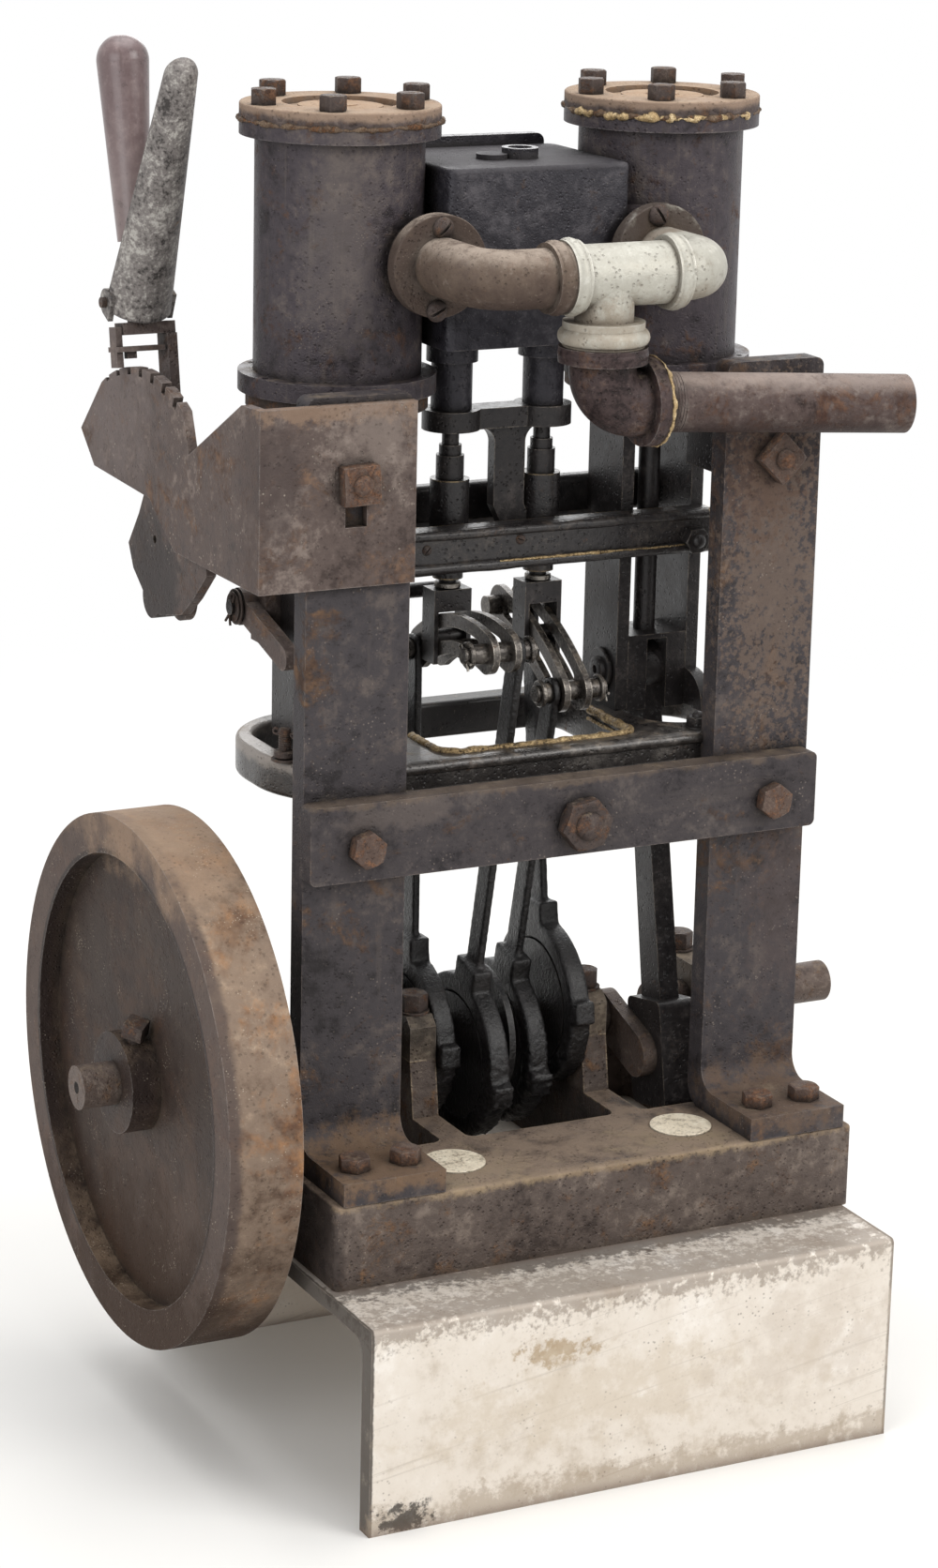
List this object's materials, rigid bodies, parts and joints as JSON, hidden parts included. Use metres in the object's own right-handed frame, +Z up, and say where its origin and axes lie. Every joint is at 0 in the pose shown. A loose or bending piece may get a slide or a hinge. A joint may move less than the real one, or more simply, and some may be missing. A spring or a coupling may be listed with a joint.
{
  "type": "stationary steam engine",
  "caption": "Small upright steam engine with side-by-side cylinders, slotted-link reversing gear, flywheel and exhaust pipe on a channel stand.",
  "frame": {"origin": "on the floor, under the middle of the engine's bounding box", "axes": "+Z up; +X along the crankshaft, from the flywheel to the free shaft end; +Y from the columns to the back"},
  "size_m": [0.5028, 0.3745, 0.7978],
  "materials": {
    "base_casting": "brown-grey cast iron with tan dust",
    "base_plugs": "pale dull metal",
    "bearing_cap_bolts": "rusty steel",
    "bearing_caps": "dull, oily cast iron",
    "channel_stand": "mill finish, scratched and stained",
    "chest_door": "black oily iron",
    "column_left": "dark steel bar with brown rust",
    "column_nuts": "rusty steel",
    "column_right": "dark steel bar with brown rust",
    "connecting_rods": "black oily steel",
    "cover_bolts": "rusty steel",
    "crankshaft": "black oily steel",
    "crossbar": "dark steel bar with brown rust",
    "crossbar_bolts": "rusty steel",
    "crossbar_stud": "rusty steel",
    "crossheads": "black oily steel",
    "cylinder_covers": "tan rusted iron",
    "cylinder_heads": "dull, oily cast iron",
    "cylinder_left": "dull, oily cast iron",
    "cylinder_right": "dull, oily cast iron",
    "eccentric_rods_backward": "black oily steel",
    "eccentric_rods_forward": "black oily steel",
    "eccentric_sheaves": "black oily steel",
    "exhaust_elbow_left": "dull, oily cast iron",
    "exhaust_elbow_lower": "dull, oily cast iron",
    "exhaust_elbow_right": "galvanised and worn",
    "exhaust_pipe": "galvanised and worn",
    "exhaust_tee": "galvanised and worn",
    "expansion_links": "black oily steel",
    "flywheel": "brown rusted iron",
    "foot_bolts": "rusty steel",
    "gland_bridge": "dull, oily cast iron",
    "guide_beam": "dull, oily cast iron",
    "inner_guides": "dull, oily cast iron",
    "latch_catch": "grey-green worn steel",
    "latch_trigger": "grey-green worn steel",
    "lever_bracket": "dark steel bar with brown rust",
    "lever_grip": "smooth brown handle",
    "outer_guides": "dull, oily cast iron",
    "rear_bar": "dull, oily cast iron",
    "reversing_lever": "dull, oily cast iron",
    "reversing_shaft": "black oily steel",
    "ring_frame": "dull, oily cast iron",
    "shaft_disc": "black oily steel",
    "shaft_lug": "black oily steel",
    "trigger_pin": "dull, oily cast iron",
    "valve_chest": "black oily iron",
    "valve_rods": "black oily steel"
  },
  "bodies": {
    "engine": {"base_casting": "base_casting", "base_plugs": "base_plugs", "bearing_cap_bolts": "bearing_cap_bolts", "bearing_caps": "bearing_caps", "channel_stand": "channel_stand", "chest_door": "chest_door", "column_left": "column_left", "column_nuts": "column_nuts", "column_right": "column_right", "connecting_rods": "connecting_rods", "cover_bolts": "cover_bolts", "crankshaft": "crankshaft", "crossbar": "crossbar", "crossbar_bolts": "crossbar_bolts", "crossbar_stud": "crossbar_stud", "crossheads": "crossheads", "cylinder_covers": "cylinder_covers", "cylinder_heads": "cylinder_heads", "cylinder_left": "cylinder_left", "cylinder_right": "cylinder_right", "eccentric_rods_backward": "eccentric_rods_backward", "eccentric_rods_forward": "eccentric_rods_forward", "eccentric_sheaves": "eccentric_sheaves", "exhaust_elbow_left": "exhaust_elbow_left", "exhaust_elbow_lower": "exhaust_elbow_lower", "exhaust_elbow_right": "exhaust_elbow_right", "exhaust_pipe": "exhaust_pipe", "exhaust_tee": "exhaust_tee", "expansion_links": "expansion_links", "flywheel": "flywheel", "foot_bolts": "foot_bolts", "gland_bridge": "gland_bridge", "guide_beam": "guide_beam", "inner_guides": "inner_guides", "lever_bracket": "lever_bracket", "outer_guides": "outer_guides", "rear_bar": "rear_bar", "reversing_shaft": "reversing_shaft", "ring_frame": "ring_frame", "shaft_disc": "shaft_disc", "shaft_lug": "shaft_lug", "valve_chest": "valve_chest", "valve_rods": "valve_rods"},
    "lever": {"reversing_lever": "reversing_lever", "lever_grip": "lever_grip", "trigger_pin": "trigger_pin"},
    "trigger": {"latch_trigger": "latch_trigger"},
    "catch": {"latch_catch": "latch_catch"}
  },
  "joints": [
    {"name": "lever_swing", "type": "hinge", "parent": "engine", "child": "lever", "pos_m": [-0.1736, 0.093, 0.478], "axis": [1, 0, 0], "range_deg": [-12, 36]},
    {"name": "trigger_squeeze", "type": "hinge", "parent": "lever", "child": "trigger", "pos_m": [-0.1736, 0.12139, 0.64764], "axis": [1, 0, 0], "range_deg": [-20, 0], "stiffness_Nm_per_rad": 0.4, "springref_deg": 11.46},
    {"name": "catch_lift", "type": "slide", "parent": "lever", "child": "catch", "axis": [0, 0.165, 0.9863], "range_m": [0, 0.006]}
  ],
  "couplings": [
    {"joint": "catch_lift", "follows": "trigger_squeeze", "m_per_rad": -0.017}
  ]
}
